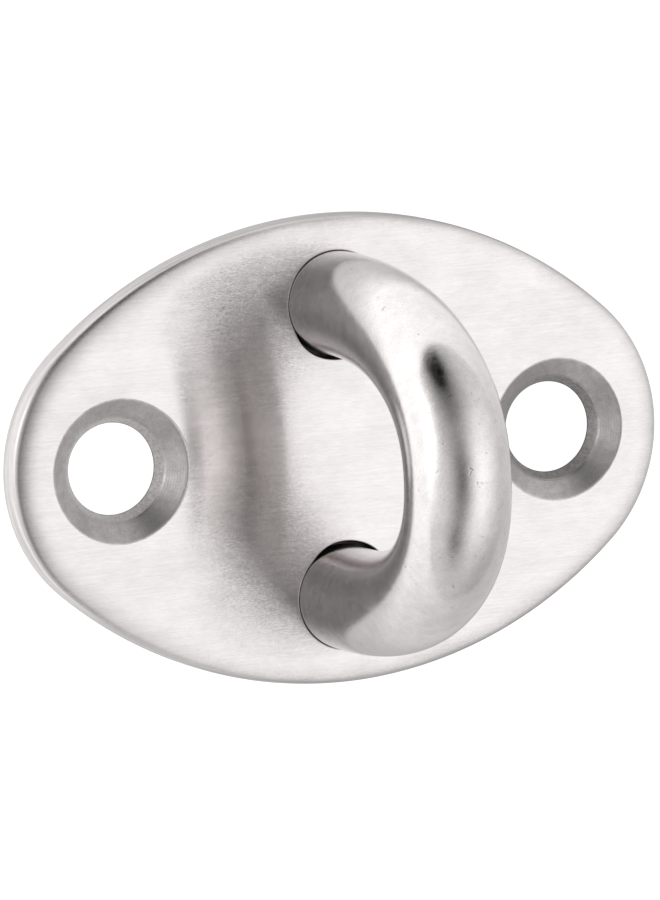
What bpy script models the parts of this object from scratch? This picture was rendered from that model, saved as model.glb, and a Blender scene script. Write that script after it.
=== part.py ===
"""Pad eye: an oval stainless plate with a bent round bar passed through it and welded at the back.

The plate's flat back lies on z = 0 and the eye rises along +Z. The plate's long axis is X.
The bar is bent in the plane x = 0, and its two legs stand at y = +/- half of LEG_SPACING.
Lengths are in metres.
"""
import math

import bmesh
import bpy
from mathutils import Matrix, Vector

MM = 0.001

# Clearance that neighbouring pieces keep
FIT_GAP = 0.3 * MM

# Base plate: a four-arc oval with a rounded front edge and a square back edge
PLATE_LENGTH = 54.0 * MM
PLATE_WIDTH = 36.0 * MM
PLATE_THICKNESS = 2.1 * MM
PLATE_END_RADIUS = 12.3 * MM
FRONT_EDGE_RADIUS = 0.5 * MM

# Countersunk screw holes on the long axis
SCREW_SPACING = 36.5 * MM
COUNTERSINK_DIAMETER = 10.9 * MM
THROAT_DIAMETER = 8.0 * MM
BACK_DIAMETER = 7.0 * MM
COUNTERSINK_DEPTH = 1.15 * MM

# Bar: round stock bent to an arch with short straight legs
BAR_DIAMETER = 8.0 * MM
LEG_SPACING = 22.6 * MM
EYE_HEIGHT = 26.6 * MM
STRAIGHT_ABOVE_PLATE = 0.8 * MM
ARCH_EXPONENT = 2.25

# Leg holes: wider than the bar on the eye's inner side, chamfered at the back for the weld
LEG_HOLE_DIAMETER = BAR_DIAMETER + 2.0 * FIT_GAP + 0.3 * MM
LEG_HOLE_SHIFT = 0.15 * MM
WELD_CHAMFER = 1.0 * MM
WELD_THICKNESS = 0.8 * MM
WELD_CROWN_DROP = 0.06 * MM

# Mesh fineness
OUTLINE_STEPS = 20
HOLE_SIDES = 48
BAR_RING_RESOLUTION = 10
ARCH_STEPS = 44

# Cutters run this far past the faces that they cut
CUT_MARGIN = 1.0 * MM


def clear_scene():
    """Remove whatever objects the open file holds."""
    for obj in list(bpy.data.objects):
        bpy.data.objects.remove(obj, do_unlink=True)


def steel(name, grey, roughness):
    """A bare stainless steel finish."""
    material = bpy.data.materials.new(name)
    material.use_nodes = True
    shader = material.node_tree.nodes["Principled BSDF"]
    shader.inputs["Base Color"].default_value = (grey, grey, grey * 0.985, 1.0)
    shader.inputs["Metallic"].default_value = 1.0
    shader.inputs["Roughness"].default_value = roughness
    material.diffuse_color = (grey, grey, grey, 1.0)
    return material


def mesh_object(name, mesh_builder):
    """Link an object whose mesh a bmesh holds, and free the bmesh."""
    mesh = bpy.data.meshes.new(name)
    mesh_builder.to_mesh(mesh)
    mesh_builder.free()
    obj = bpy.data.objects.new(name, mesh)
    bpy.context.scene.collection.objects.link(obj)
    return obj


def smooth(obj, sharp_angle=30.0):
    """Shade the curved faces smooth and keep the real edges crisp."""
    obj.data.shade_smooth()
    obj.data.set_sharp_from_angle(angle=math.radians(sharp_angle))


def arc(centre, radius, start, end, steps):
    """Points along an arc, without its last one, so that arcs can follow each other."""
    points = []
    for step in range(steps):
        angle = start + (end - start) * step / steps
        points.append(centre + radius * Vector((math.cos(angle), math.sin(angle))))
    return points


def oval_outline(length, width, end_radius, steps):
    """A closed four-arc oval: two end arcs and two side arcs that meet without a corner."""
    end_centre = length / 2.0 - end_radius
    half_width = width / 2.0
    side_radius = (end_centre**2 + half_width**2 - end_radius**2) / (2.0 * (half_width - end_radius))
    side_centre = side_radius - half_width
    joint = math.atan2(side_centre, end_centre)
    right = Vector((end_centre, 0.0))
    left = Vector((-end_centre, 0.0))
    below = Vector((0.0, -side_centre))
    above = Vector((0.0, side_centre))
    outline = arc(right, end_radius, -joint, joint, steps)
    outline += arc(below, side_radius, joint, math.pi - joint, steps)
    outline += arc(left, end_radius, math.pi - joint, math.pi + joint, steps)
    outline += arc(above, side_radius, math.pi + joint, 2.0 * math.pi - joint, steps)
    return outline


def turned(name, profile, sides):
    """A solid of revolution about Z from (radius, height) points, both ends on the axis."""
    builder = bmesh.new()
    verts = [builder.verts.new((radius, 0.0, height)) for radius, height in profile]
    edges = [builder.edges.new(pair) for pair in zip(verts, verts[1:])]
    bmesh.ops.spin(
        builder,
        geom=verts + edges,
        axis=(0.0, 0.0, 1.0),
        cent=(0.0, 0.0, 0.0),
        angle=2.0 * math.pi,
        steps=sides,
        use_merge=True,
    )
    bmesh.ops.remove_doubles(builder, verts=builder.verts, dist=0.001 * MM)
    bmesh.ops.recalc_face_normals(builder, faces=builder.faces)
    return mesh_object(name, builder)


def cut(target, cutter):
    """Subtract a cutter, which stays in the file as a wire guide."""
    cutter.hide_render = True
    cutter.display_type = "WIRE"
    boolean = target.modifiers.new(cutter.name, "BOOLEAN")
    boolean.operation = "DIFFERENCE"
    boolean.object = cutter


def leg_sides():
    """The two legs: a name and the sign of y."""
    return (("upper", 1.0), ("lower", -1.0))


def leg_hole_y(side):
    """Leg holes sit a little nearer the middle than the legs do."""
    return side * (LEG_SPACING / 2.0 - LEG_HOLE_SHIFT)


def plate_blank():
    """The oval blank with its front edge rounded."""
    builder = bmesh.new()
    outline = oval_outline(PLATE_LENGTH, PLATE_WIDTH, PLATE_END_RADIUS, OUTLINE_STEPS)
    back = builder.faces.new([builder.verts.new((p.x, p.y, 0.0)) for p in outline])
    grown = bmesh.ops.extrude_face_region(builder, geom=[back])
    front_verts = [item for item in grown["geom"] if isinstance(item, bmesh.types.BMVert)]
    bmesh.ops.translate(builder, verts=front_verts, vec=(0.0, 0.0, PLATE_THICKNESS))
    front_set = set(front_verts)
    front_edges = [edge for edge in builder.edges if set(edge.verts) <= front_set]
    bmesh.ops.recalc_face_normals(builder, faces=builder.faces)
    bmesh.ops.bevel(
        builder,
        geom=front_edges,
        offset=FRONT_EDGE_RADIUS,
        offset_type="OFFSET",
        segments=4,
        profile=0.5,
        affect="EDGES",
    )
    return mesh_object("base_plate", builder)


def screw_hole_cutter(name, x):
    """A countersink, then a throat that narrows a little towards the back."""
    rim = COUNTERSINK_DIAMETER / 2.0
    throat = THROAT_DIAMETER / 2.0
    back = BACK_DIAMETER / 2.0
    throat_z = PLATE_THICKNESS - COUNTERSINK_DEPTH
    cone_slope = (rim - throat) / COUNTERSINK_DEPTH
    profile = (
        (0.0, -CUT_MARGIN),
        (back, -CUT_MARGIN),
        (back, 0.0),
        (throat, throat_z),
        (rim + cone_slope * CUT_MARGIN, PLATE_THICKNESS + CUT_MARGIN),
        (0.0, PLATE_THICKNESS + CUT_MARGIN),
    )
    cutter = turned(name, profile, HOLE_SIDES)
    cutter.location = (x, 0.0, 0.0)
    return cutter


def leg_hole_cutter(name, side):
    """A straight hole with a 45 degree chamfer at the back."""
    hole = LEG_HOLE_DIAMETER / 2.0
    profile = (
        (0.0, -CUT_MARGIN),
        (hole + WELD_CHAMFER + CUT_MARGIN, -CUT_MARGIN),
        (hole, WELD_CHAMFER),
        (hole, PLATE_THICKNESS + CUT_MARGIN),
        (0.0, PLATE_THICKNESS + CUT_MARGIN),
    )
    cutter = turned(name, profile, HOLE_SIDES)
    cutter.location = (0.0, leg_hole_y(side), 0.0)
    return cutter


def make_base_plate():
    plate = plate_blank()
    for name, side in (("left", -1.0), ("right", 1.0)):
        cut(plate, screw_hole_cutter(f"cut_screw_hole_{name}", side * SCREW_SPACING / 2.0))
    for name, side in leg_sides():
        cut(plate, leg_hole_cutter(f"cut_leg_hole_{name}", side))
    smooth(plate)
    plate.data.materials.append(steel("plate_brushed_steel", 0.72, 0.34))
    return plate


def bar_route():
    """Centre line of the bar: up one leg, over a superellipse arch, down the other leg."""
    half_spacing = LEG_SPACING / 2.0
    leg_end_z = WELD_THICKNESS + FIT_GAP
    arch_start_z = PLATE_THICKNESS + STRAIGHT_ABOVE_PLATE
    arch_rise = EYE_HEIGHT - BAR_DIAMETER / 2.0 - arch_start_z
    power = 2.0 / ARCH_EXPONENT
    route = [Vector((0.0, half_spacing, leg_end_z))]
    for step in range(ARCH_STEPS + 1):
        angle = math.pi * step / ARCH_STEPS
        across = math.copysign(abs(math.cos(angle)) ** power, math.cos(angle))
        rise = abs(math.sin(angle)) ** power
        route.append(Vector((0.0, half_spacing * across, arch_start_z + arch_rise * rise)))
    route.append(Vector((0.0, -half_spacing, leg_end_z)))
    return route


def make_eye_bow():
    curve = bpy.data.curves.new("eye_bow", "CURVE")
    curve.dimensions = "3D"
    curve.bevel_depth = BAR_DIAMETER / 2.0
    curve.bevel_resolution = BAR_RING_RESOLUTION
    curve.use_fill_caps = True
    route = bar_route()
    spline = curve.splines.new("POLY")
    spline.points.add(len(route) - 1)
    for point, place in zip(spline.points, route):
        point.co = (*place, 1.0)
    spline.use_smooth = True
    bow = bpy.data.objects.new("eye_bow", curve)
    bpy.context.scene.collection.objects.link(bow)
    curve.materials.append(steel("bow_satin_steel", 0.68, 0.28))
    return bow


def make_weld(name, side):
    """The weld that fills the chamfer behind one leg, ground level with the plate's back."""
    slant_gap = FIT_GAP * math.sqrt(2.0)
    back_radius = LEG_HOLE_DIAMETER / 2.0 + WELD_CHAMFER - slant_gap
    front_radius = back_radius - WELD_THICKNESS
    profile = (
        (0.0, WELD_CROWN_DROP),
        (back_radius * 0.45, WELD_CROWN_DROP),
        (back_radius * 0.8, 0.0),
        (back_radius, 0.0),
        (front_radius, WELD_THICKNESS),
        (0.0, WELD_THICKNESS),
    )
    weld = turned(name, profile, HOLE_SIDES)
    weld.data.transform(Matrix.Translation((0.0, leg_hole_y(side), 0.0)))
    smooth(weld)
    weld.data.materials.append(steel(f"{name}_steel", 0.55, 0.42))
    return weld


def main():
    clear_scene()
    make_base_plate()
    make_eye_bow()
    for name, side in leg_sides():
        make_weld(f"rear_weld_{name}", side)


main()
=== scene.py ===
"""The pad eye's looks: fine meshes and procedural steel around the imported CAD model, and a pale studio.

The plate's flat back lies on z = 0, its long axis is X, and the eye's two legs stand on the Y axis.
Lengths are in metres. Directions in the studio are an azimuth from +X towards +Y and an elevation.
"""

import math

import bmesh
import bpy
from mathutils import Matrix, Vector, noise
from mathutils.geometry import delaunay_2d_cdt


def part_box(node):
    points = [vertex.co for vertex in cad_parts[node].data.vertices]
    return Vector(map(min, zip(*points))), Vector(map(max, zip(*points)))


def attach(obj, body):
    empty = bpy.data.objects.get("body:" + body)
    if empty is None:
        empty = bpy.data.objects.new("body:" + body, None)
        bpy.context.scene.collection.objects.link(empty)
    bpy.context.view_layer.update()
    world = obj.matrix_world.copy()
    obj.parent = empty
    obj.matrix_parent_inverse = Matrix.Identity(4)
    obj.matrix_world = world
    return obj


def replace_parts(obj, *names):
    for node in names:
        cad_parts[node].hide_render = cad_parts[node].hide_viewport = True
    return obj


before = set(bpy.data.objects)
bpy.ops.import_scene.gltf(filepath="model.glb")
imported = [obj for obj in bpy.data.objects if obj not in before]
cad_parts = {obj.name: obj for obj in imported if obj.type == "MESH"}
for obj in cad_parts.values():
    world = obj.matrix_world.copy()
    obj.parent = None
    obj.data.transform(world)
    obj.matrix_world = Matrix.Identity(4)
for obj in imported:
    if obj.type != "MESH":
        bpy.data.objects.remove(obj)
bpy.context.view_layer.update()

MM = 0.001

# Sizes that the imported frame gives
_, PLATE_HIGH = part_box("base_plate")
BAR_LOW, BAR_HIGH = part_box("eye_bow")
PLATE_TOP = PLATE_HIGH.z
HALF_LENGTH = PLATE_HIGH.x
HALF_WIDTH = PLATE_HIGH.y
BAR_RADIUS = (BAR_HIGH.x - BAR_LOW.x) / 2.0
LEG_Y = BAR_HIGH.y - BAR_RADIUS
LEG_END_Z = BAR_LOW.z

# Four-arc oval of the plate's outline
END_RADIUS = 12.3 * MM
END_CENTRE = HALF_LENGTH - END_RADIUS
SIDE_RADIUS = (END_CENTRE**2 + HALF_WIDTH**2 - END_RADIUS**2) / (2.0 * (HALF_WIDTH - END_RADIUS))
SIDE_CENTRE = SIDE_RADIUS - HALF_WIDTH
ARC_JOINT = math.atan2(SIDE_CENTRE, END_CENTRE)
OUTLINE_STEPS = 72

# Edges of the plate: in front a gentle crown and a round edge, with rings as far in as the
# shoulder's width; a small break at the back
SHOULDER_WIDTH = 2.2 * MM
CROWN_WIDTH = 2.75 * MM
CROWN_DROP = 0.45 * MM
ROUND_WIDTH = 0.65 * MM
ROUND_DROP = 0.95 * MM
SHOULDER_STEPS = 30
TUMBLED_WIDTH = 0.3 * MM
BACK_BREAK = 0.1 * MM
EDGE_STEPS = 4
FLAT_MARGIN = 0.12 * MM

# Screw holes: countersink and narrowing throat
SCREW_X = 18.25 * MM
SINK_RADIUS = 5.45 * MM
THROAT_RADIUS = 4.0 * MM
THROAT_BACK_RADIUS = 3.5 * MM
SINK_DEPTH = 1.15 * MM
RIM_ROUNDING = 0.1 * MM
RIM_STEPS = 8
HOLE_SIDES = 128
CONE_STEPS = 6
THROAT_STEPS = 10
THROAT_ROUGHNESS = 0.035 * MM
FLUTE_SCALE = 14.0
GRAIN_SCALE = 40.0

# Leg holes: tight round the bar, open on the eye's inner side
LEG_HOLE_PLAY = 0.01 * MM
LEG_HOLE_OPENING = 0.32 * MM
LEG_HOLE_LEAN = math.radians(10.0)
LEG_HOLE_EDGE = 0.09 * MM
OPENING_COSINE = 0.55
WELD_DEPTH = 0.8 * MM
WELD_CHAMFER = 1.0 * MM

# Welds: a ground disc with a conical side and a narrower root
WELD_SIDES = 144
WELD_RINGS = 26
WELD_SIDE_RINGS = 6
WELD_SIDE_SHARE = 0.82
WELD_ROOT_RINGS = 3
WELD_ROOT_SHARE = 0.72
WELD_ROOT_HEIGHT = 0.25 * MM
WELD_EDGE_WANDER = 0.16 * MM
WELD_PIT = 0.05 * MM
WELD_PIT_SIZE = 1.3 * MM

# Flat faces
FACE_SPACING = 0.75 * MM
FACE_WAVE = 0.006 * MM
FACE_WAVE_LENGTH = 9.0 * MM
FACE_WAVE_FADE = 2.0 * MM

# Bar: straight legs into a superellipse arch
ARCH_EXPONENT = 2.25
STRAIGHT_ABOVE_PLATE = 0.8 * MM
ARCH_STEPS = 4000
BAR_RINGS = 420
BAR_SIDES = 112
BAR_END_ROUNDING = 0.3 * MM
BAR_WAVE = 0.02 * MM
BAR_WAVE_LENGTH = 6.0 * MM

# Material slots of the plate
FACE, EDGE, SINK, THROAT, CREVICE, BACK = range(6)

# Texture map whose U lies across the grain, its scale on flat faces, and its step from ring to ring
GRAIN_MAP = "grain"
GRAIN_PER_METRE = 10.0
RING_U = 0.01

# Camera
CAMERA_PLACE = Vector((-250.26, 84.34, 556.80)) * MM
CAMERA_YAW = math.radians(24.196)
CAMERA_PITCH = math.radians(7.886)
CAMERA_ROLL = math.radians(2.045)
CAMERA_LENS = 323.2
SENSOR_WIDTH = 36.0

# Steel: a warm grey, with brushing whose scratches lean the surface by this much
STEEL_TINT = (1.0, 0.96, 0.95)
SCRATCH_LEAN = 1.5
WHITE = (1.0, 1.0, 1.0, 1.0)


# ---------------------------------------------------------------- mesh drafting


class Draft:
    """Points, faces, material slots and texture directions, gathered before a mesh is made."""

    def __init__(self):
        self.points = []
        self.faces = []
        self.slots = []
        self.uvs = []

    def ring(self, points):
        """Add points and return their numbers."""
        first = len(self.points)
        self.points.extend(points)
        return list(range(first, first + len(points)))

    def face(self, corners, slot, uvs):
        self.faces.append(corners)
        self.slots.append(slot)
        self.uvs.append(uvs)

    def strip(self, first, second, slot, u_first, u_second):
        """Quads between two closed rings; U runs from ring to ring and V along them."""
        count = len(first)
        for index in range(count):
            after = (index + 1) % count
            low = index / count
            high = (index + 1) / count
            self.face(
                (first[index], first[after], second[after], second[index]),
                slot,
                ((u_first, low), (u_first, high), (u_second, high), (u_second, low)),
            )

    def flat(self, corners, slot):
        """A face whose texture runs straight: U along Y, so that the steel blurs across its grain."""
        places = [self.points[corner] * GRAIN_PER_METRE for corner in corners]
        uvs = [(place.y, place.x) for place in places]
        self.face(corners, slot, uvs)

    def flat_strip(self, first, second, slot):
        count = len(first)
        for index in range(count):
            after = (index + 1) % count
            self.flat((first[index], first[after], second[after], second[index]), slot)

    def build(self, name, materials, sharp_angle=35.0):
        mesh = bpy.data.meshes.new(name)
        mesh.from_pydata([tuple(point) for point in self.points], [], self.faces)
        mesh.polygons.foreach_set("material_index", self.slots)
        layer = mesh.uv_layers.new(name=GRAIN_MAP)
        flat_uvs = [value for face in self.uvs for uv in face for value in uv]
        layer.data.foreach_set("uv", flat_uvs)
        for material in materials:
            mesh.materials.append(material)
        turn_outwards(mesh)
        mesh.shade_smooth()
        mesh.set_sharp_from_angle(angle=math.radians(sharp_angle))
        mesh.validate()
        obj = bpy.data.objects.new(name, mesh)
        bpy.context.scene.collection.objects.link(obj)
        return obj


def turn_outwards(mesh):
    """Wind all faces of a closed mesh so that they look outwards."""
    shell = bmesh.new()
    shell.from_mesh(mesh)
    bmesh.ops.recalc_face_normals(shell, faces=shell.faces)
    shell.to_mesh(mesh)
    shell.free()


def quarter(steps):
    """Cosine and sine over a quarter turn, ends included."""
    return [
        (math.cos(math.pi / 2.0 * step / steps), math.sin(math.pi / 2.0 * step / steps))
        for step in range(steps + 1)
    ]


def smoothstep(value):
    value = min(1.0, max(0.0, value))
    return value * value * (3.0 - 2.0 * value)


# ---------------------------------------------------------------- plate


def arc_points(centre, radius, start, end):
    """Points along an arc, without its last one, so that arcs can follow each other."""
    angles = [start + (end - start) * step / OUTLINE_STEPS for step in range(OUTLINE_STEPS)]
    return [(centre[0] + radius * math.cos(a), centre[1] + radius * math.sin(a)) for a in angles]


def outline(inset, z):
    """The plate's outline at a height, drawn in by an inset."""
    end = END_RADIUS - inset
    side = SIDE_RADIUS - inset
    points = arc_points((END_CENTRE, 0.0), end, -ARC_JOINT, ARC_JOINT)
    points += arc_points((0.0, -SIDE_CENTRE), side, ARC_JOINT, math.pi - ARC_JOINT)
    points += arc_points((-END_CENTRE, 0.0), end, math.pi - ARC_JOINT, math.pi + ARC_JOINT)
    points += arc_points((0.0, SIDE_CENTRE), side, math.pi + ARC_JOINT, 2.0 * math.pi - ARC_JOINT)
    return [Vector((x, y, z)) for x, y in points]


def depth_inside(x, y):
    """How far a point lies inside the plate's outline."""
    x = abs(x)
    y = abs(y)
    if math.atan2(y + SIDE_CENTRE, x) < ARC_JOINT:
        return END_RADIUS - math.hypot(x - END_CENTRE, y)
    return SIDE_RADIUS - math.hypot(x, y + SIDE_CENTRE)


def circle(x, y, z, radius):
    turns = [2.0 * math.pi * step / HOLE_SIDES for step in range(HOLE_SIDES)]
    return [Vector((x + radius * math.cos(a), y + radius * math.sin(a), z)) for a in turns]


def leg_hole_radius(angle, side):
    """Distance from the leg's axis to the hole's wall: nearly the bar's own, wider towards the middle."""
    widest = -side * math.pi / 2.0 - LEG_HOLE_LEAN
    opening = smoothstep((math.cos(angle - widest) - OPENING_COSINE) / (1.0 - OPENING_COSINE))
    return BAR_RADIUS + LEG_HOLE_PLAY + LEG_HOLE_OPENING * opening


def leg_ring(side, z, spread):
    """The leg hole's outline at a height, grown by a spread."""
    points = []
    for step in range(HOLE_SIDES):
        angle = 2.0 * math.pi * step / HOLE_SIDES
        radius = leg_hole_radius(angle, side) + spread
        points.append(Vector((radius * math.cos(angle), side * LEG_Y + radius * math.sin(angle), z)))
    return points


def wavy(point):
    """Lower a point of the face by its crown, and by the few microns that pressing leaves it low."""
    wave = noise.noise(Vector((point.x, point.y, 0.0)) / FACE_WAVE_LENGTH)
    depth = depth_inside(point.x, point.y)
    fade = smoothstep((depth - SHOULDER_WIDTH) / FACE_WAVE_FADE)
    drop = shoulder_drop(depth) + FACE_WAVE * fade * (0.5 + 0.5 * wave)
    return Vector((point.x, point.y, point.z - drop))


def face_grid(keep_off):
    """Points spread over the plate in a triangular grid, clear of the outline and the holes."""
    points = []
    row_height = FACE_SPACING * math.sqrt(3.0) / 2.0
    rows = int(HALF_WIDTH / row_height)
    columns = int(HALF_LENGTH / FACE_SPACING)
    for row in range(-rows, rows + 1):
        offset = 0.5 * FACE_SPACING * (row % 2)
        for column in range(-columns, columns + 1):
            x = column * FACE_SPACING + offset
            y = row * row_height
            if depth_inside(x, y) > keep_off and clear_of_holes(x, y, keep_off):
                points.append((x, y))
    return points


def clear_of_holes(x, y, margin):
    screws = all(math.hypot(x - side * SCREW_X, y) > SINK_RADIUS + margin for side in (-1.0, 1.0))
    legs = all(
        math.hypot(x, y - side * LEG_Y)
        > leg_hole_radius(math.atan2(y - side * LEG_Y, x), side) + WELD_CHAMFER + margin
        for side in (-1.0, 1.0)
    )
    return screws and legs


def fill_face(draft, rings, z, slot):
    """Triangles between the outer ring, the first, and the hole rings, with grid points between them."""
    numbers = [number for ring in rings for number in ring]
    homes = [home for home, ring in enumerate(rings) for _ in ring]
    flat = [Vector((draft.points[n].x, draft.points[n].y)) for n in numbers]
    edges = []
    first = 0
    for ring in rings:
        count = len(ring)
        edges += [(first + i, first + (i + 1) % count) for i in range(count)]
        first += count
    grid = face_grid(SHOULDER_WIDTH + FLAT_MARGIN + 0.5 * FACE_SPACING)
    numbers += draft.ring([Vector((x, y, z)) for x, y in grid])
    homes += [0] * len(grid)
    flat += [Vector(place) for place in grid]
    _, _, triangles, origins, _, _ = delaunay_2d_cdt(flat, edges, [], 0, 1e-9)
    for triangle in triangles:
        corners = [origins[corner][0] for corner in triangle]
        around = {homes[corner] for corner in corners}
        in_hole = len(around) == 1 and 0 not in around
        if not in_hole:
            draft.flat(tuple(numbers[corner] for corner in corners), slot)


def shoulder_drop(inset):
    """How far the front lies below its middle: a gentle crown, and a round edge at the rim."""
    crown = CROWN_DROP * max(0.0, 1.0 - inset / CROWN_WIDTH) ** 3
    outwards = max(0.0, 1.0 - inset / ROUND_WIDTH)
    return crown + ROUND_DROP * (1.0 - (1.0 - outwards**3) ** (1.0 / 3.0))


def edge_rings(draft):
    """From the back's margin round the edge to the front's margin; returns the two margin rings."""
    back_margin = draft.ring(outline(BACK_BREAK + FLAT_MARGIN, 0.0))
    rings = [(back_margin, BACK)]
    for cosine, sine in quarter(EDGE_STEPS):
        rings.append((draft.ring(outline(BACK_BREAK * (1.0 - sine), BACK_BREAK * (1.0 - cosine))), EDGE))
    for step in range(SHOULDER_STEPS + 1):
        inset = SHOULDER_WIDTH * (step / SHOULDER_STEPS) ** 2
        slot = EDGE if inset < TUMBLED_WIDTH else FACE
        rings.append((draft.ring(outline(inset, PLATE_TOP - shoulder_drop(inset))), slot))
    inset = SHOULDER_WIDTH + FLAT_MARGIN
    front_margin = draft.ring(outline(inset, PLATE_TOP - shoulder_drop(inset)))
    rings.append((front_margin, FACE))
    for (lower, _), (upper, slot) in zip(rings, rings[1:]):
        if slot == FACE:
            draft.flat_strip(lower, upper, slot)
        else:
            draft.strip(lower, upper, slot, 0.0, RING_U)
    return back_margin, front_margin


def rough_throat(x, radius, z, amount):
    """A throat ring with the torn, fluted surface that a punch leaves."""
    points = []
    for point in circle(x, 0.0, z, radius):
        angle = math.atan2(point.y, point.x - x)
        outwards = Vector((math.cos(angle), math.sin(angle), 0.0))
        flute = noise.noise(outwards * FLUTE_SCALE + Vector((0.0, 0.0, z / MM * 0.8)))
        grain = noise.noise(outwards * GRAIN_SCALE + Vector((0.0, 0.0, z / MM * 5.0)))
        points.append(point + outwards * amount * (0.7 * flute + 0.3 * grain))
    return points


def screw_hole(draft, x):
    """From the front's margin over the rim, down the cone and the throat, to the back's margin."""
    cone_slope = math.atan2(SINK_DEPTH, SINK_RADIUS - THROAT_RADIUS)
    rings = [(draft.ring(circle(x, 0.0, PLATE_TOP, SINK_RADIUS + RIM_ROUNDING + FLAT_MARGIN)), FACE)]
    rim_radius = RIM_ROUNDING / math.tan(cone_slope / 2.0)
    for step in range(RIM_STEPS + 1):
        turn = cone_slope * step / RIM_STEPS
        radius = SINK_RADIUS + RIM_ROUNDING - rim_radius * math.sin(turn)
        z = PLATE_TOP - rim_radius * (1.0 - math.cos(turn))
        rings.append((draft.ring(circle(x, 0.0, z, radius)), FACE if step == 0 else SINK))
    throat_z = PLATE_TOP - SINK_DEPTH
    last_radius = radius
    last_z = z
    for step in range(1, CONE_STEPS + 1):
        share = step / CONE_STEPS
        radius = last_radius + (THROAT_RADIUS - last_radius) * share
        rings.append((draft.ring(circle(x, 0.0, last_z + (throat_z - last_z) * share, radius)), SINK))
    for step in range(1, THROAT_STEPS + 1):
        share = step / THROAT_STEPS
        radius = THROAT_RADIUS + (THROAT_BACK_RADIUS - THROAT_RADIUS) * share
        amount = THROAT_ROUGHNESS * smoothstep(share * 5.0) * smoothstep((1.0 - share) * 5.0)
        z = throat_z * (1.0 - share) + BACK_BREAK * share
        rings.append((draft.ring(rough_throat(x, radius, z, amount)), THROAT))
    for cosine, sine in quarter(EDGE_STEPS)[1:]:
        radius = THROAT_BACK_RADIUS + BACK_BREAK * (1.0 - cosine)
        rings.append((draft.ring(circle(x, 0.0, BACK_BREAK * (1.0 - sine), radius)), EDGE))
    back_margin = draft.ring(circle(x, 0.0, 0.0, THROAT_BACK_RADIUS + BACK_BREAK + FLAT_MARGIN))
    rings.append((back_margin, BACK))
    join_hole(draft, rings)
    return back_margin, rings[0][0]


def leg_hole(draft, side):
    """The hole for one leg, chamfered at the back where the weld sits."""
    front_margin = draft.ring(leg_ring(side, PLATE_TOP, LEG_HOLE_EDGE + FLAT_MARGIN))
    rings = [(front_margin, FACE)]
    for cosine, sine in quarter(EDGE_STEPS):
        spread = LEG_HOLE_EDGE * (1.0 - sine)
        rings.append((draft.ring(leg_ring(side, PLATE_TOP - LEG_HOLE_EDGE * (1.0 - cosine), spread)), FACE))
    # The leg hole's walls take the crevice steel, whose near-black colour is painted shade with some oxide
    rings.append((draft.ring(leg_ring(side, WELD_CHAMFER, 0.0)), CREVICE))
    rings.append((draft.ring(leg_ring(side, 0.0, WELD_CHAMFER)), CREVICE))
    back_margin = draft.ring(leg_ring(side, 0.0, WELD_CHAMFER + FLAT_MARGIN))
    rings.append((back_margin, BACK))
    join_hole(draft, rings)
    return back_margin, front_margin


def join_hole(draft, rings):
    """Strips between a hole's rings, wound so that they face the hole's axis."""
    for level, ((upper, _), (lower, slot)) in enumerate(zip(rings, rings[1:])):
        if slot in (FACE, BACK):
            draft.flat_strip(lower, upper, slot)
        else:
            draft.strip(lower, upper, slot, (level + 1) * RING_U, level * RING_U)


def make_plate(materials):
    draft = Draft()
    backs = []
    fronts = []
    for back, front in (
        edge_rings(draft),
        screw_hole(draft, -SCREW_X),
        screw_hole(draft, SCREW_X),
        leg_hole(draft, -1.0),
        leg_hole(draft, 1.0),
    ):
        backs.append(back)
        fronts.append(front)
    fill_face(draft, fronts, PLATE_TOP, FACE)
    fill_face(draft, backs, 0.0, BACK)
    # Only the points that were drafted level with the top lie on the face
    draft.points = [wavy(point) if point.z == PLATE_TOP else point for point in draft.points]
    return draft.build("base_plate_brushed", materials)


# ---------------------------------------------------------------- bar and welds


def bar_centre_line():
    """Evenly spaced points along the bar's centre line, from the leg at +Y to the leg at -Y."""
    start_z = PLATE_TOP + STRAIGHT_ABOVE_PLATE
    rise = BAR_HIGH.z - BAR_RADIUS - start_z
    power = 2.0 / ARCH_EXPONENT
    fine = [Vector((0.0, LEG_Y, LEG_END_Z))]
    for step in range(ARCH_STEPS + 1):
        angle = math.pi * step / ARCH_STEPS
        across = math.copysign(abs(math.cos(angle)) ** power, math.cos(angle))
        fine.append(Vector((0.0, LEG_Y * across, start_z + rise * math.sin(angle) ** power)))
    fine.append(Vector((0.0, -LEG_Y, LEG_END_Z)))
    return evenly_spaced(fine, BAR_RINGS)


def evenly_spaced(points, count):
    """Points at equal steps along a polyline."""
    lengths = [0.0]
    for before, after in zip(points, points[1:]):
        lengths.append(lengths[-1] + (after - before).length)
    spaced = []
    index = 0
    for step in range(count + 1):
        target = lengths[-1] * step / count
        while index < len(points) - 2 and lengths[index + 1] < target:
            index += 1
        span = lengths[index + 1] - lengths[index]
        share = (target - lengths[index]) / span
        spaced.append(points[index].lerp(points[index + 1], share))
    return spaced


def make_bow(material):
    draft = Draft()
    line = bar_centre_line()
    along_x = Vector((1.0, 0.0, 0.0))
    rings = []
    for index, centre in enumerate(line):
        before = line[max(0, index - 1)]
        after = line[min(len(line) - 1, index + 1)]
        outward = (after - before).normalized().cross(along_x)
        rings.append(draft.ring(bar_ring(centre, along_x, outward)))
    for level, (lower, upper) in enumerate(zip(rings, rings[1:])):
        draft.strip(upper, lower, 0, (level + 1) / BAR_RINGS, level / BAR_RINGS)
    close_end(draft, rings[0], line[0], -1.0)
    close_end(draft, rings[-1], line[-1], 1.0)
    return draft.build("eye_bow_satin", [material])


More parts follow.
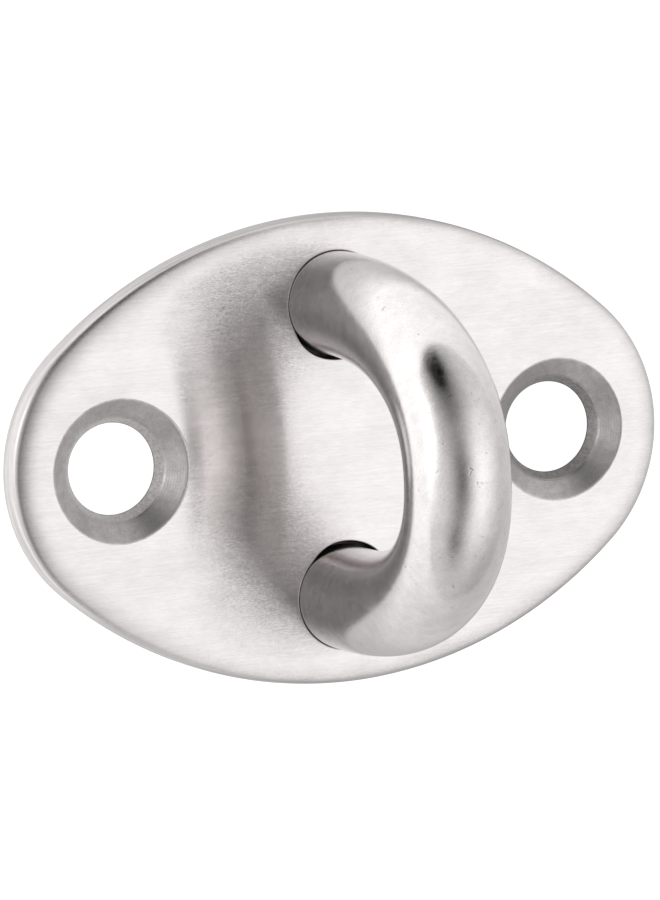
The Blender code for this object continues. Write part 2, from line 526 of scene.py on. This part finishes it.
def bar_ring(centre, along_x, outward):
    """One section of the bar, with the slight hollows that polishing leaves."""
    points = []
    for step in range(BAR_SIDES):
        angle = 2.0 * math.pi * step / BAR_SIDES
        direction = along_x * math.cos(angle) + outward * math.sin(angle)
        place = centre + direction * BAR_RADIUS
        wave = noise.noise(place / BAR_WAVE_LENGTH)
        points.append(place - direction * BAR_WAVE * (0.5 + 0.5 * wave))
    return points


def close_end(draft, ring, centre, order):
    """Close the bar's flat end with rings and a fan; order says which way the faces look."""
    previous = ring
    for cosine, _ in quarter(EDGE_STEPS)[1:]:
        share = 1.0 - BAR_END_ROUNDING / BAR_RADIUS * (1.0 - cosine)
        inner = draft.ring([centre + (draft.points[n] - centre) * share for n in ring])
        pair = (inner, previous) if order < 0.0 else (previous, inner)
        draft.strip(*pair, 0, 0.0, RING_U)
        previous = inner
    middle = len(draft.points)
    draft.points.append(Vector(centre))
    count = len(previous)
    for index in range(count):
        corners = (previous[index], previous[(index + 1) % count], middle)
        if order > 0.0:
            corners = corners[::-1]
        draft.flat(corners, 0)


def weld_radius(angle, side):
    """The weld's outer edge at the plate's back, a little uneven."""
    wander = noise.noise(Vector((2.2 * math.cos(angle), 2.2 * math.sin(angle), side * 3.0)))
    return leg_hole_radius(angle, side) + WELD_CHAMFER + WELD_EDGE_WANDER * wander


def ramp(start, end, steps):
    """Pairs at equal steps from a start, which is left out, to an end."""
    pairs = []
    for step in range(1, steps + 1):
        share = step / steps
        pairs.append(tuple(low + (high - low) * share for low, high in zip(start, end)))
    return pairs


def make_weld(name, side, material):
    """Weld metal behind one leg, ground level with the back: a disc with a fused, conical flank."""
    draft = Draft()
    centre = Vector((0.0, side * LEG_Y, 0.0))
    turns = [2.0 * math.pi * step / WELD_SIDES for step in range(WELD_SIDES)]
    levels = [(step / WELD_RINGS, 0.0) for step in range(1, WELD_RINGS + 1)]
    levels += ramp((1.0, 0.0), (WELD_SIDE_SHARE, WELD_DEPTH), WELD_SIDE_RINGS)
    levels += ramp(levels[-1], (WELD_ROOT_SHARE, WELD_DEPTH + WELD_ROOT_HEIGHT), WELD_ROOT_RINGS)
    rings = []
    for share, z in levels:
        points = []
        for angle in turns:
            radius = weld_radius(angle, side) * share
            place = centre + Vector((radius * math.cos(angle), radius * math.sin(angle), z))
            if z == 0.0:
                place.z = weld_relief(place, share)
            points.append(place)
        rings.append(draft.ring(points))
    hub = len(draft.points)
    draft.points.append(centre + Vector((0.0, 0.0, weld_relief(centre, 0.0))))
    count = len(turns)
    for index in range(count):
        draft.flat((hub, rings[0][(index + 1) % count], rings[0][index]), 0)
    for inner, outer in zip(rings, rings[1:]):
        draft.flat_strip(outer, inner, 0)
    top = len(draft.points)
    draft.points.append(centre + Vector((0.0, 0.0, levels[-1][1])))
    for index in range(count):
        draft.flat((rings[-1][index], rings[-1][(index + 1) % count], top), 0)
    return draft.build(name, [material])


def weld_relief(place, share):
    """Height of the ground face: level at its rim, with shallow pits and a fine undercut near it."""
    pits = max(0.0, noise.noise(place / WELD_PIT_SIZE) - 0.15)
    undercut = smoothstep((share - 0.86) / 0.06) * smoothstep((0.99 - share) / 0.05)
    return WELD_PIT * (0.9 * pits + 0.5 * undercut) * smoothstep((1.0 - share) / 0.02)


# ---------------------------------------------------------------- materials


def put(tree, socket, value):
    """Set a socket, or link it if the value is another node's output."""
    if isinstance(value, bpy.types.NodeSocket):
        tree.links.new(value, socket)
    else:
        socket.default_value = value


def math_node(tree, operation, first, second=0.0, third=0.0):
    node = tree.nodes.new("ShaderNodeMath")
    node.operation = operation
    for socket, value in zip(node.inputs, (first, second, third)):
        put(tree, socket, value)
    return node.outputs[0]


def vector_node(tree, operation, first, output, second=(0.0, 0.0, 0.0)):
    node = tree.nodes.new("ShaderNodeVectorMath")
    node.operation = operation
    put(tree, node.inputs[0], first)
    put(tree, node.inputs[1], second)
    return node.outputs[output]


class Nodes:
    """A material's node tree with short ways to add and link nodes."""

    def __init__(self, name):
        self.material = bpy.data.materials.new(name)
        self.material.use_nodes = True
        self.tree = self.material.node_tree
        self.shader = self.tree.nodes["Principled BSDF"]
        self.shader.inputs["Metallic"].default_value = 1.0
        self.coordinates = self.tree.nodes.new("ShaderNodeTexCoord").outputs["Object"]

    def put(self, socket, value):
        put(self.tree, socket, value)

    def math(self, operation, first, second=0.0, third=0.0):
        return math_node(self.tree, operation, first, second, third)

    def stretched(self, scale, source=None):
        """Object coordinates, stretched by a scale per metre on each axis."""
        node = self.tree.nodes.new("ShaderNodeMapping")
        self.put(node.inputs["Vector"], source or self.coordinates)
        node.inputs["Scale"].default_value = scale
        return node.outputs[0]

    def noise(self, scale, detail=2.0, roughness=0.5, source=None):
        """Noise between 0 and 1 with the given scale per metre on each axis."""
        node = self.tree.nodes.new("ShaderNodeTexNoise")
        self.put(node.inputs["Vector"], self.stretched(scale, source))
        node.inputs["Scale"].default_value = 1.0
        node.inputs["Detail"].default_value = detail
        node.inputs["Roughness"].default_value = roughness
        return node.outputs[0]

    def remap(self, value, from_low, from_high, to_low, to_high, smooth=False):
        """Move a value from one range to another, and hold it within the new one."""
        node = self.tree.nodes.new("ShaderNodeMapRange")
        node.interpolation_type = "SMOOTHSTEP" if smooth else "LINEAR"
        for socket, item in zip(node.inputs, (value, from_low, from_high, to_low, to_high)):
            self.put(socket, item)
        return node.outputs[0]

    def axis(self, letter):
        node = self.tree.nodes.new("ShaderNodeSeparateXYZ")
        self.put(node.inputs[0], self.coordinates)
        return node.outputs[letter]

    def grey(self, value):
        """Steel's warm grey from a brightness."""
        node = self.tree.nodes.new("ShaderNodeMix")
        node.data_type = "RGBA"
        self.put(node.inputs["Factor"], value)
        node.inputs["A"].default_value = (0.0, 0.0, 0.0, 1.0)
        node.inputs["B"].default_value = (*STEEL_TINT, 1.0)
        return node.outputs["Result"]

    def mix_colour(self, share, first, second):
        node = self.tree.nodes.new("ShaderNodeMix")
        node.data_type = "RGBA"
        self.put(node.inputs["Factor"], share)
        self.put(node.inputs["A"], first)
        self.put(node.inputs["B"], second)
        return node.outputs["Result"]

    def bump(self, height, distance, normal=None):
        node = self.tree.nodes.new("ShaderNodeBump")
        node.inputs["Distance"].default_value = distance
        node.inputs["Strength"].default_value = 1.0
        self.put(node.inputs["Height"], height)
        if normal is not None:
            self.put(node.inputs["Normal"], normal)
        return node.outputs[0]

    def tilt_across_grain(self, value, amount):
        """A normal leaned across the brushing only, by the value's distance from a half."""
        lean = self.math("MULTIPLY_ADD", value, 0.5 * amount, 0.5 - 0.25 * amount)
        packed = self.tree.nodes.new("ShaderNodeCombineColor")
        packed.inputs["Green"].default_value = 0.5
        packed.inputs["Blue"].default_value = 1.0
        self.put(packed.inputs["Red"], lean)
        tangent_space = self.tree.nodes.new("ShaderNodeNormalMap")
        tangent_space.uv_map = GRAIN_MAP
        self.put(tangent_space.inputs["Color"], packed.outputs["Color"])
        return tangent_space.outputs["Normal"]

    def grain_tangent(self):
        """Steel blurs reflections along U, which the meshes lay across the grain."""
        node = self.tree.nodes.new("ShaderNodeTangent")
        node.direction_type = "UV_MAP"
        node.uv_map = GRAIN_MAP
        self.put(self.shader.inputs["Tangent"], node.outputs[0])

    def finish(self, colour, roughness, normal):
        self.put(self.shader.inputs["Base Color"], colour)
        self.put(self.shader.inputs["Roughness"], roughness)
        self.put(self.shader.inputs["Normal"], normal)
        return self.material


def brushed(name, brightness, roughness, anisotropy):
    """Fine straight brushing along X, with scratches that throw the light across the grain."""
    nodes = Nodes(name)
    scratches = nodes.noise((4000.0, 240000.0, 2000.0), 2.0, 0.5)
    streaks = nodes.noise((1300.0, 9000.0, 2000.0), 3.0, 0.6)
    long_lines = nodes.noise((130.0, 5200.0, 900.0), 2.0, 0.5)
    cloud = nodes.noise((260.0, 420.0, 260.0), 4.0, 0.6)
    both = nodes.math("ADD", nodes.math("MULTIPLY", streaks, 0.6), nodes.math("MULTIPLY", long_lines, 0.4))
    level = nodes.math(
        "ADD",
        nodes.remap(both, 0.3, 0.7, brightness - 0.045, brightness + 0.045),
        nodes.remap(cloud, 0.3, 0.7, -0.05, 0.05),
    )
    colour = nodes.grey(level)
    rough = nodes.math(
        "ADD",
        nodes.remap(both, 0.3, 0.7, roughness - 0.02, roughness + 0.02),
        nodes.remap(cloud, 0.35, 0.65, -0.02, 0.02),
    )
    normal = nodes.tilt_across_grain(scratches, SCRATCH_LEAN)
    normal = nodes.bump(both, 0.0022 * MM, normal)
    nodes.shader.inputs["Anisotropic"].default_value = anisotropy
    nodes.grain_tangent()
    return nodes.finish(colour, rough, normal)


def tumbled(name, brightness, roughness):
    """Satin left by tumbling: tiny specks in every direction, over the faint layers of a sheared edge."""
    nodes = Nodes(name)
    specks = nodes.noise((5200.0, 5200.0, 5200.0), 3.0, 0.65)
    coarse = nodes.noise((1560.0, 1560.0, 1560.0), 2.0, 0.5)
    cloud = nodes.noise((180.0, 180.0, 180.0), 3.0, 0.5)
    layers = nodes.noise((120.0, 120.0, 4200.0), 2.0, 0.5)
    both = nodes.math("ADD", nodes.math("MULTIPLY", specks, 0.6), nodes.math("MULTIPLY", coarse, 0.4))
    level = nodes.math(
        "ADD",
        nodes.remap(both, 0.3, 0.7, brightness - 0.03, brightness + 0.03),
        nodes.remap(layers, 0.35, 0.65, -0.1, 0.06),
    )
    colour = nodes.grey(level)
    rough = nodes.math(
        "ADD",
        nodes.remap(specks, 0.3, 0.7, roughness - 0.03, roughness + 0.03),
        nodes.remap(cloud, 0.35, 0.65, -0.025, 0.025),
    )
    return nodes.finish(colour, rough, nodes.bump(both, 0.003 * MM))


def machined(name, brightness, roughness, anisotropy):
    """Turned surface of a countersink: fine rings, chatter and smears of dull metal."""
    nodes = Nodes(name)
    specks = nodes.noise((7000.0, 7000.0, 7000.0), 3.0, 0.6)
    smears = nodes.noise((1500.0, 1500.0, 1500.0), 4.0, 0.7)
    height = nodes.axis("Z")
    wave = nodes.math("SINE", nodes.math("MULTIPLY", height, 2.0 * math.pi / (0.13 * MM)))
    rings = nodes.math("ADD", nodes.math("MULTIPLY", wave, 0.3), specks)
    relief = nodes.math("ADD", rings, nodes.math("MULTIPLY", smears, 3.0))
    both = nodes.math("ADD", nodes.math("MULTIPLY", specks, 0.4), nodes.math("MULTIPLY", smears, 0.6))
    colour = nodes.grey(nodes.remap(both, 0.35, 0.65, brightness - 0.09, brightness + 0.09))
    rough = nodes.remap(both, 0.35, 0.65, roughness + 0.06, roughness - 0.06)
    nodes.shader.inputs["Anisotropic"].default_value = anisotropy
    nodes.grain_tangent()
    return nodes.finish(colour, rough, nodes.bump(relief, 0.006 * MM))


def sheared(name, brightness, roughness):
    """Torn wall of a punched hole: short scratches down the wall, and a colour that darkens over the last
    tenth of a millimetre above the back.
    """
    nodes = Nodes(name)
    specks = nodes.noise((5200.0, 5200.0, 1600.0), 4.0, 0.7)
    level = nodes.remap(specks, 0.3, 0.7, brightness - 0.16, brightness + 0.12)
    # Darker towards the back: the colour falls to a fifth between 0.2 mm and 0.1 mm above the back
    darker_at_back = nodes.remap(nodes.axis("Z"), 0.1 * MM, 0.2 * MM, 0.2, 1.0, True)
    colour = nodes.grey(nodes.math("MULTIPLY", level, darker_at_back))
    rough = nodes.remap(specks, 0.3, 0.7, roughness - 0.05, roughness + 0.08)
    return nodes.finish(colour, rough, nodes.bump(specks, 0.03 * MM))


def crevice(name):
    """Painted shade in the gap beside a leg, with some oxide: nearly black and dull."""
    nodes = Nodes(name)
    specks = nodes.noise((3000.0, 3000.0, 3000.0), 3.0, 0.6)
    colour = nodes.grey(nodes.remap(specks, 0.3, 0.7, 0.02, 0.06))
    nodes.shader.inputs["Metallic"].default_value = 0.3
    return nodes.finish(colour, nodes.remap(specks, 0.3, 0.7, 0.6, 0.8), nodes.bump(specks, 0.02 * MM))


def satin_bar(name, brightness, roughness):
    """The bar's satin: specks, small pits and faint clouds, and painted shade, nearly black, where it
    stands inside the plate.
    """
    nodes = Nodes(name)
    specks = nodes.noise((5600.0, 5600.0, 5600.0), 3.0, 0.65)
    coarse = nodes.noise((1300.0, 1300.0, 1300.0), 3.0, 0.6)
    cloud = nodes.noise((260.0, 260.0, 260.0), 4.0, 0.6)
    both = nodes.math("ADD", nodes.math("MULTIPLY", specks, 0.5), nodes.math("MULTIPLY", coarse, 0.5))
    pits = nodes.remap(nodes.noise((1900.0, 1900.0, 1900.0), 2.0, 0.5), 0.68, 0.78, 0.0, 1.0, True)
    level = nodes.math(
        "ADD",
        nodes.remap(both, 0.3, 0.7, brightness - 0.075, brightness + 0.075),
        nodes.remap(cloud, 0.3, 0.7, -0.04, 0.04),
    )
    steel = nodes.grey(nodes.math("MULTIPLY_ADD", pits, -0.18, level))
    # Painted shade: the bar's colour goes nearly black below the plate's top, inside the leg hole
    buried_painted_shade = nodes.remap(nodes.axis("Z"), PLATE_TOP - 0.5 * MM, PLATE_TOP - 0.1 * MM, 0.9, 0.0, True)
    colour = nodes.mix_colour(buried_painted_shade, steel, (0.02, 0.018, 0.016, 1.0))
    rough = nodes.math(
        "ADD",
        nodes.remap(both, 0.3, 0.7, roughness - 0.04, roughness + 0.04),
        nodes.remap(cloud, 0.35, 0.65, -0.03, 0.03),
    )
    relief = nodes.math("MULTIPLY_ADD", pits, -1.2, both)
    return nodes.finish(colour, rough, nodes.bump(relief, 0.0065 * MM))


def ground_weld(name, brightness, roughness):
    """Ground weld metal: coarse slanting grinding marks and a straw to blue heat tint round its edge."""
    nodes = Nodes(name)
    turned = nodes.tree.nodes.new("ShaderNodeMapping")
    nodes.put(turned.inputs["Vector"], nodes.coordinates)
    turned.inputs["Rotation"].default_value = (0.0, 0.0, math.radians(32.0))
    marks = nodes.noise((300.0, 5200.0, 600.0), 3.0, 0.6, turned.outputs[0])
    cloud = nodes.noise((260.0, 260.0, 260.0), 3.0, 0.5)
    steel = nodes.grey(nodes.remap(marks, 0.3, 0.7, brightness - 0.06, brightness + 0.06))
    straw = nodes.mix_colour(nodes.remap(cloud, 0.45, 0.7, 0.0, 0.45, True), steel, (0.5, 0.38, 0.2, 1.0))
    blue = nodes.mix_colour(nodes.remap(cloud, 0.58, 0.78, 0.0, 0.5, True), straw, (0.22, 0.24, 0.36, 1.0))
    rough = nodes.remap(marks, 0.3, 0.7, roughness - 0.06, roughness + 0.06)
    return nodes.finish(blue, rough, nodes.bump(marks, 0.012 * MM))


# ---------------------------------------------------------------- studio

# An even studio with lamps that brighten it and cards that darken it.
# Each is an azimuth, an elevation and a spread in degrees, and a change of level.
# A fitting program gave most of these values, and those of FLOOR_AROUND. They weren't chosen by hand.
STUDIO_STRENGTH = 0.91
STUDIO_LEVEL = 0.98
HIGH_LAMP = (326.0, 71.0, 34.0, 1.38)
LOW_LAMP = (166.0, -2.0, 14.0, 3.4)
OVERHEAD_CARD = (209.0, 79.0, 19.0, -1.38)
FRONT_CARD = (240.0, 42.0, 14.0, -0.79)
RIGHT_CARD = (310.0, 27.0, 36.0, -0.72)
BACK_CARD = (105.0, 43.0, 26.0, -0.88)
LOW_BACK_CARD = (107.0, 9.0, 12.0, -0.95)
STUDIO_PATCHES = (HIGH_LAMP, LOW_BACK_CARD, FRONT_CARD, OVERHEAD_CARD, LOW_LAMP, BACK_CARD, RIGHT_CARD)
FLOOR_SIZE = 8.0
FLOOR_DROP = 0.02 * MM
FLOOR_GREY = (0.5, 0.5, 0.5, 1.0)
FLOOR_SEEN_GLOW = 0.85

# Glow of the floor that the steel mirrors, close to the plate and farther off: painted light, dimmed close
# to the plate as a painted shadow.
# Each is a level, and how much brighter it gets towards +X and towards +Y.
FLOOR_NEAR = 21.0 * MM
FLOOR_FAR = 32.0 * MM
FLOOR_CLOSE = (0.36, -0.32, 0.1)
FLOOR_AROUND = (0.85, -0.37, 0.34)


def direction(azimuth, elevation):
    a = math.radians(azimuth)
    e = math.radians(elevation)
    return Vector((math.cos(a) * math.cos(e), math.sin(a) * math.cos(e), math.sin(e)))


def make_studio():
    """A surrounding that is brighter and darker in soft patches, and plain white to the camera."""
    world = bpy.data.worlds.new("studio")
    world.use_nodes = True
    bpy.context.scene.world = world
    tree = world.node_tree
    tree.nodes.clear()
    way = tree.nodes.new("ShaderNodeTexCoord").outputs["Generated"]
    level = STUDIO_LEVEL
    for azimuth, elevation, spread, change in STUDIO_PATCHES:
        towards = vector_node(tree, "DOT_PRODUCT", way, "Value", direction(azimuth, elevation))
        sharpness = 1.0 / math.radians(spread) ** 2
        bell = math_node(tree, "EXPONENT", math_node(tree, "MULTIPLY_ADD", towards, sharpness, -sharpness))
        level = math_node(tree, "MULTIPLY_ADD", bell, change, level)
    level = math_node(tree, "MULTIPLY", math_node(tree, "MAXIMUM", level, 0.0), STUDIO_STRENGTH)
    surround = tree.nodes.new("ShaderNodeBackground")
    surround.inputs["Color"].default_value = WHITE
    tree.links.new(level, surround.inputs["Strength"])
    backdrop = tree.nodes.new("ShaderNodeBackground")
    backdrop.inputs["Color"].default_value = WHITE
    seen = tree.nodes.new("ShaderNodeLightPath")
    choose = tree.nodes.new("ShaderNodeMixShader")
    tree.links.new(seen.outputs["Is Camera Ray"], choose.inputs[0])
    tree.links.new(surround.outputs[0], choose.inputs[1])
    tree.links.new(backdrop.outputs[0], choose.inputs[2])
    output = tree.nodes.new("ShaderNodeOutputWorld")
    tree.links.new(choose.outputs[0], output.inputs["Surface"])


def make_floor():
    """A floor that is plain white to the camera. What the steel mirrors of it is painted light, dimmed
    close to the plate as a painted shadow.
    """
    half = FLOOR_SIZE / 2.0
    mesh = bpy.data.meshes.new("floor")
    corners = [(x, y, -FLOOR_DROP) for x, y in ((-half, -half), (half, -half), (half, half), (-half, half))]
    mesh.from_pydata(corners, [], [(0, 1, 2, 3)])
    floor = bpy.data.objects.new("floor", mesh)
    bpy.context.scene.collection.objects.link(floor)
    nodes = Nodes("floor_white")
    nodes.shader.inputs["Metallic"].default_value = 0.0
    nodes.shader.inputs["Base Color"].default_value = FLOOR_GREY
    nodes.shader.inputs["Roughness"].default_value = 1.0
    nodes.shader.inputs["Specular IOR Level"].default_value = 0.0
    nodes.shader.inputs["Emission Color"].default_value = WHITE
    distance = vector_node(nodes.tree, "LENGTH", nodes.coordinates, "Value")
    outwards = vector_node(nodes.tree, "NORMALIZE", nodes.coordinates, "Vector")
    levels = []
    for level, towards_x, towards_y in (FLOOR_CLOSE, FLOOR_AROUND):
        lean = vector_node(nodes.tree, "DOT_PRODUCT", outwards, "Value", (towards_x, towards_y, 0.0))
        levels.append(nodes.math("ADD", lean, level))
    # Painted light for the steel to mirror: a painted shadow close to the plate, brighter towards +Y and -X
    # farther off
    mirrored_painted_light = nodes.math(
        "MULTIPLY", nodes.remap(distance, FLOOR_NEAR, FLOOR_FAR, *levels, True), STUDIO_STRENGTH
    )
    seen = nodes.tree.nodes.new("ShaderNodeLightPath").outputs["Is Camera Ray"]
    glow = nodes.remap(seen, 0.0, 1.0, mirrored_painted_light, FLOOR_SEEN_GLOW)
    nodes.put(nodes.shader.inputs["Emission Strength"], glow)
    mesh.materials.append(nodes.material)


def make_camera():
    data = bpy.data.cameras.new("camera")
    data.lens = CAMERA_LENS
    data.sensor_width = SENSOR_WIDTH
    data.clip_start = 10.0 * MM
    data.clip_end = 20.0
    camera = bpy.data.objects.new("camera", data)
    world_to_camera = (
        Matrix.Rotation(CAMERA_ROLL, 4, "Z")
        @ Matrix.Rotation(CAMERA_PITCH, 4, "X")
        @ Matrix.Rotation(CAMERA_YAW, 4, "Y")
    )
    camera.matrix_world = Matrix.Translation(CAMERA_PLACE) @ world_to_camera.transposed()
    bpy.context.scene.collection.objects.link(camera)
    bpy.context.scene.camera = camera


def main():
    plate = make_plate(
        [
            brushed("plate_brushed_face", brightness=0.66, roughness=0.14, anisotropy=1.0),
            tumbled("plate_tumbled_edge", brightness=0.60, roughness=0.34),
            machined("countersink_machined", brightness=0.52, roughness=0.36, anisotropy=0.5),
            sheared("throat_sheared", brightness=0.52, roughness=0.45),
            # Near-black painted shade, with some oxide, on the leg holes' walls
            crevice("leg_hole_oxide_and_painted_shade"),
            brushed("plate_brushed_back", brightness=0.62, roughness=0.30, anisotropy=0.9),
        ]
    )
    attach(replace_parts(plate, "base_plate"), "root")
    bow = make_bow(satin_bar("bow_satin_steel", brightness=0.66, roughness=0.17))
    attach(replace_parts(bow, "eye_bow"), "root")
    weld_steel = ground_weld("weld_ground_steel", brightness=0.55, roughness=0.4)
    for name, side in (("upper", 1.0), ("lower", -1.0)):
        weld = make_weld(f"rear_weld_{name}_ground", side, weld_steel)
        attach(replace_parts(weld, f"rear_weld_{name}"), "root")
    make_studio()
    make_floor()
    make_camera()
    bpy.context.scene.view_settings.view_transform = "Standard"


main()
